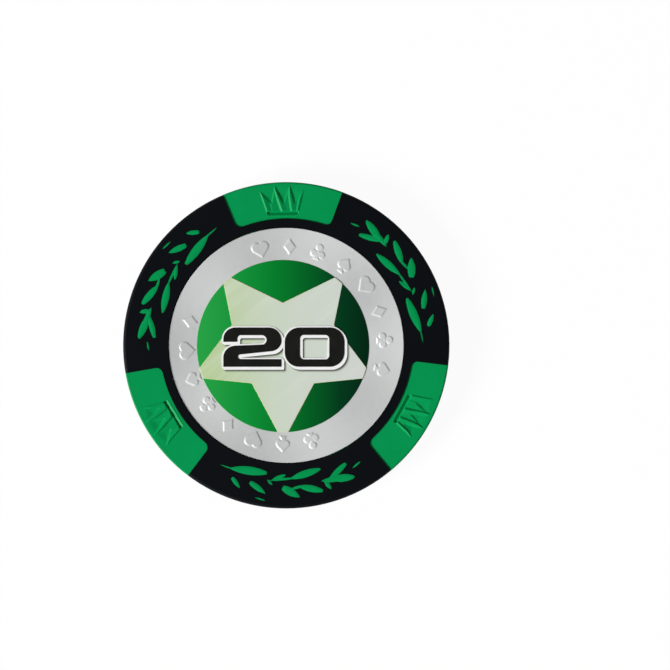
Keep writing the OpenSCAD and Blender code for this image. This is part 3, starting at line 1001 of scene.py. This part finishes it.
adhesive, steel = clear_adhesive(), tumbled_steel()
for side in ("front", "back"):
    dress(f"{side}_adhesive", adhesive)
dress("steel_slug", steel)

# %% [markdown]
# The chip lies on a plain white floor. To the camera the floor is mostly a white glow, so that the
# background comes out white at a plain light level, and the rest of it still takes the chip's soft
# shadow. The world is white round the horizon and grey overhead, as in a studio whose lamps stand to the
# side.

# %% Floor
white = (1.0, 1.0, 1.0, 1.0)
floor_paint, floor_glow = (0.92, 0.92, 0.92, 1.0), 0.95
floor_half = 4.0


def seen_by_eye(tree):
    """1 for rays that the camera, a gloss or a glass sends out, else 0."""
    path = add(tree, "LightPath")
    seen = path.outputs["Is Camera Ray"]
    for kind in ("Is Glossy Ray", "Is Transmission Ray"):
        seen = add(tree, "Math", {0: seen, 1: path.outputs[kind]}, operation="MAXIMUM").outputs[0]
    return seen


white_floor, tree = blank_material("White_floor")
glow_share = add(tree, "Math", {0: seen_by_eye(tree), 1: floor_glow}, operation="MULTIPLY")
paint = add(tree, "BsdfDiffuse", {"Color": floor_paint})
glow = add(tree, "Emission", {"Color": white, "Strength": 1.0})
blend = add(tree, "MixShader", {0: glow_share.outputs[0], 1: paint.outputs[0], 2: glow.outputs[0]})
add(tree, "OutputMaterial", {"Surface": blend.outputs[0]})

floor_corners = np.array([[-1, -1, 0], [1, -1, 0], [1, 1, 0], [-1, 1, 0]]) * floor_half
floor_mesh = bpy.data.meshes.new("floor")
floor_mesh.from_pydata(floor_corners, [], [[0, 1, 2, 3]])
floor_mesh.materials.append(white_floor)
floor = bpy.data.objects.new("floor", floor_mesh)
bpy.context.scene.collection.objects.link(floor)
print(f"floor {2 * floor_half:.0f} m wide")

# %% World
overhead = (0.2, 0.2, 0.2, 1.0)
# Heights of a direction, 0 level and 1 straight up, between which the white fades to the grey.
white_below, grey_above = 0.25, 0.6

world = bpy.data.worlds.new("studio")
bpy.context.scene.world = world
world.use_nodes = True
tree = world.node_tree
tree.nodes.clear()
direction = add(tree, "SeparateXYZ", {0: add(tree, "TexCoord").outputs["Generated"]})
horizon = add(tree, "MapRange", {
    "Value": direction.outputs["Z"], "From Min": white_below, "From Max": grey_above,
    "To Min": 1.0, "To Max": 0.0,
})
white_share = add(tree, "Math", {0: horizon.outputs[0], 1: seen_by_eye(tree)}, operation="MULTIPLY")
sky = add(tree, "Mix", {SHARE: white_share.outputs[0], FIRST: overhead, SECOND: white}, data_type="RGBA")
background = add(tree, "Background", {"Color": sky.outputs[MIXED], "Strength": 1.0})
add(tree, "OutputWorld", {"Surface": background.outputs[0]})
print(f"world {world.name}")

# %% [markdown]
# The relief of the crowns and suits only shows in slanting light. One large soft lamp stands to the left,
# a little below the picture's middle, at 30 degrees above the table, and far enough away to light the
# chip evenly.

# %% Lamp
def soft_lamp(name, azimuth, elevation, distance, size, watts):
    """A square lamp that looks at the chip. The azimuth runs anticlockwise from the picture's right."""
    light = bpy.data.lights.new(name, "AREA")
    light.energy, light.size = watts, size
    lamp = bpy.data.objects.new(name, light)
    a, e = math.radians(azimuth - label_turn), math.radians(elevation)
    out = Vector((math.cos(a) * math.cos(e), math.sin(a) * math.cos(e), math.sin(e)))
    facing = out.to_track_quat("Z", "Y").to_matrix().to_4x4()
    lamp.matrix_world = Matrix.Translation(out * distance) @ facing
    bpy.context.scene.collection.objects.link(lamp)
    print(f"{name}: {watts} W, {distance} m from the chip")


soft_lamp("key_lamp", azimuth=205, elevation=30, distance=2.5, size=0.8, watts=101)

# %% [markdown]
# The photograph looks straight down with hardly any perspective, so the camera has a long lens. The chip
# lies left of the picture's middle. The label is level in the picture, so the camera turns with it.

# %% Camera
mm_per_pixel, picture = 0.12242, 670
# The chip's middle in the picture, in pixels from the upper left corner.
chip_at = np.array([286.26, 345.34])
camera_data = bpy.data.cameras.new("camera")
camera_data.lens, camera_data.sensor_width = 200.0, 36.0
camera_data.clip_start = 0.01
height = picture * mm_per_pixel * camera_data.lens / camera_data.sensor_width
aside = (picture / 2 - chip_at) * [1, -1] * mm_per_pixel
camera = bpy.data.objects.new("camera", camera_data)
roll = Matrix.Rotation(math.radians(-label_turn), 4, "Z")
camera.matrix_world = roll @ Matrix.Translation(Vector((*aside, chip_t + height)) * MM)
bpy.context.scene.collection.objects.link(camera)
bpy.context.scene.camera = camera
bpy.context.scene.view_settings.view_transform = "Standard"
print(f"camera {height:.0f} mm above the chip, {aside.round(2)} mm aside")
